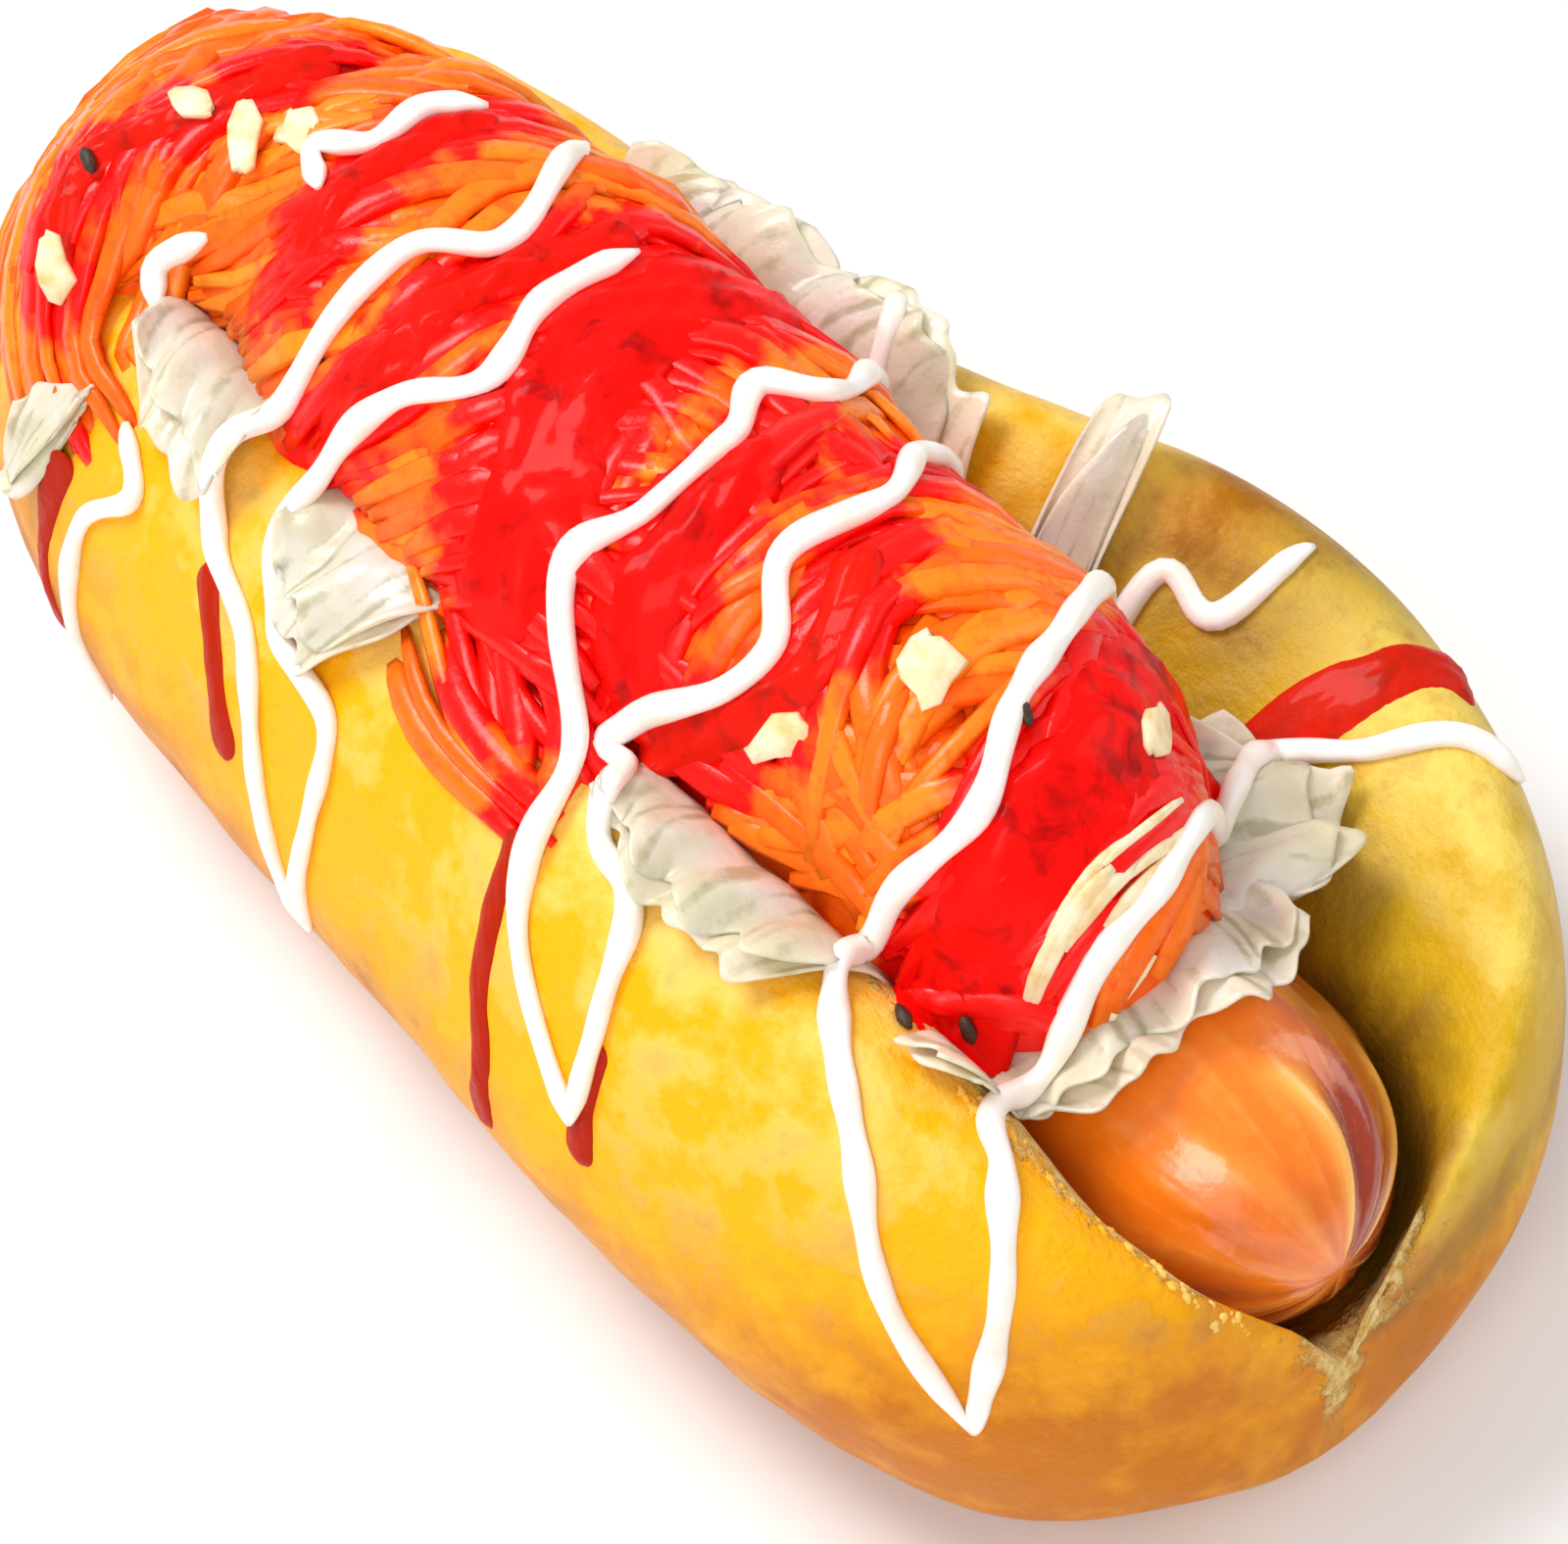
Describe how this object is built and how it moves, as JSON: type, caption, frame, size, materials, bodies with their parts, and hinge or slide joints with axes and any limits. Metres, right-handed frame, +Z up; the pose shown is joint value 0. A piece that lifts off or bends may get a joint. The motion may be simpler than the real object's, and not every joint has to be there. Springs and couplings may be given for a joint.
{
  "type": "hot dog",
  "caption": "Long opened bun holding a sausage under a heap of carrot salad and cabbage leaves, with ketchup bands and a mayonnaise zigzag.",
  "frame": {"origin": "on the floor plane, under the middle of the bun's flat underside", "axes": "+X runs along the bun to the end where the sausage shows, +Y points to the side that is folded open, +Z is up"},
  "size_m": [0.15, 0.0819, 0.0635],
  "materials": {
    "bun": "golden baked crust with a soft sheen",
    "sausage": "moist glossy casing",
    "salad": "wet shredded carrot",
    "cabbage": "crisp moist leaf, slightly translucent",
    "ketchup": "wet glossy sauce",
    "mayonnaise": "satin sauce"
  },
  "bodies": {
    "root": {"bun": "bun", "sausage": "sausage", "carrot_salad": "salad", "cabbage_1": "cabbage", "cabbage_2": "cabbage", "cabbage_3": "cabbage", "cabbage_4": "cabbage", "cabbage_5": "cabbage", "cabbage_6": "cabbage", "cabbage_7": "cabbage", "cabbage_8": "cabbage"}
  },
  "joints": []
}
